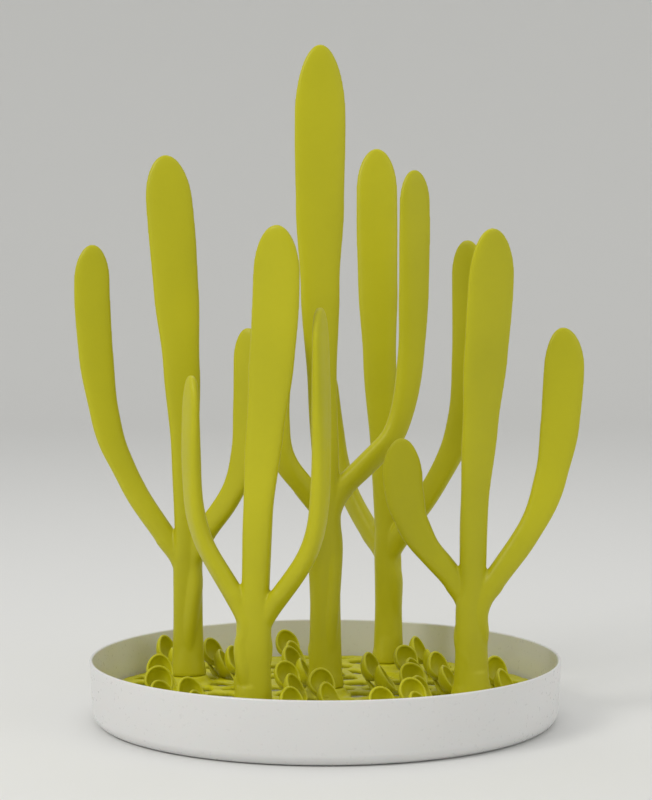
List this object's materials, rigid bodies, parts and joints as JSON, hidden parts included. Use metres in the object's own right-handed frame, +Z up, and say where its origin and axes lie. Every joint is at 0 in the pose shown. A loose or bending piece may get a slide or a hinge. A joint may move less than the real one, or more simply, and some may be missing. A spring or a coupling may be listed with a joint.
{
  "type": "bottle drying rack",
  "caption": "Round white drip tray with a green twig-net drain grate, leaf scoops and lift-out three-pronged twig stems that hold bottles, teats and small feeding parts to dry.",
  "frame": {"origin": "centre of the tray's underside, on the surface it stands on", "axes": "+Z up along the stems, -Y towards the front, +X to the right"},
  "size_m": [0.2912, 0.268, 0.3801],
  "materials": {
    "tray_plastic": "smooth satin white moulded plastic",
    "grate_plastic": "satin lime green moulded plastic",
    "stem_plastic": "satin lime green moulded plastic"
  },
  "bodies": {
    "tray": {"tray": "tray_plastic"},
    "grate": {"grate_deck": "grate_plastic", "socket_collars": "grate_plastic", "socket_cups": "grate_plastic", "leaf_scoops": "grate_plastic"},
    "stem_left": {"stem_left": "stem_plastic"},
    "stem_front": {"stem_front": "stem_plastic"},
    "stem_center": {"stem_center": "stem_plastic"},
    "stem_back": {"stem_back": "stem_plastic"},
    "stem_right": {"stem_right": "stem_plastic"}
  },
  "joints": [
    {"name": "grate_lift", "type": "slide", "parent": "tray", "child": "grate", "axis": [0, 0, 1], "range_m": [0, 0.04]},
    {"name": "stem_left_lift", "type": "slide", "parent": "grate", "child": "stem_left", "axis": [0, 0, 1], "range_m": [0, 0.014]},
    {"name": "stem_front_lift", "type": "slide", "parent": "grate", "child": "stem_front", "axis": [0, 0, 1], "range_m": [0, 0.014]},
    {"name": "stem_center_lift", "type": "slide", "parent": "grate", "child": "stem_center", "axis": [0, 0, 1], "range_m": [0, 0.014]},
    {"name": "stem_back_lift", "type": "slide", "parent": "grate", "child": "stem_back", "axis": [0, 0, 1], "range_m": [0, 0.014]},
    {"name": "stem_right_lift", "type": "slide", "parent": "grate", "child": "stem_right", "axis": [0, 0, 1], "range_m": [0, 0.014]}
  ]
}
